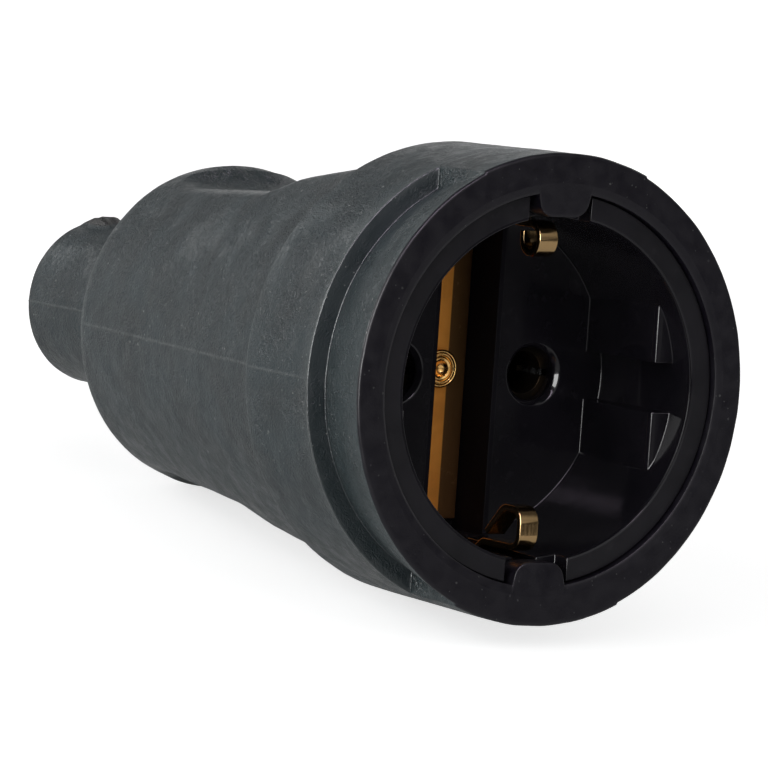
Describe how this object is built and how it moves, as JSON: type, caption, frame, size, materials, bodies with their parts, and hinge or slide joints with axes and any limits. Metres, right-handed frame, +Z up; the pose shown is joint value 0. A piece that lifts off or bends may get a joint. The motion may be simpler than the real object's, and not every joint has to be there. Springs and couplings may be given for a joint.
{
  "type": "inline socket connector",
  "caption": "Black rubber inline socket connector with a round recessed two-pole socket, side earth clips, thumb scoops and a hollow tail for the cord.",
  "frame": {"origin": "centre of the mating face, where a plug meets the connector", "axes": "+X to the right of someone looking into the socket, +Y towards the cable end, +Z up; the connector lies on its collar and the rear rim of its body, so its own axis dips 8.3 degrees towards the rear"},
  "size_m": [0.0536, 0.1059, 0.0565],
  "materials": {
    "rubber": "moulded black rubber, grey bloom, satin",
    "insert_plastic": "black moulded plastic, glossy",
    "cover_plastic": "black moulded plastic, matt",
    "brass": "rolled and turned brass, lightly tarnished",
    "steel": "zinc-plated steel"
  },
  "bodies": {
    "root": {"rubber_housing": "rubber", "socket_insert": "insert_plastic", "contact_cover": "cover_plastic", "cord_grip_bridge": "cover_plastic", "earth_strip": "brass", "earth_rivet": "brass", "earth_terminal": "brass", "earth_clamp_washer": "steel", "earth_terminal_screw": "steel", "line_contact_left": "brass", "contact_spring_left": "steel", "line_terminal_screw_left": "steel", "cover_screw_left": "steel", "cord_grip_screw_left": "steel", "cord_grip_nut_left": "steel", "line_contact_right": "brass", "contact_spring_right": "steel", "line_terminal_screw_right": "steel", "cover_screw_right": "steel", "cord_grip_screw_right": "steel", "cord_grip_nut_right": "steel"}
  },
  "joints": []
}
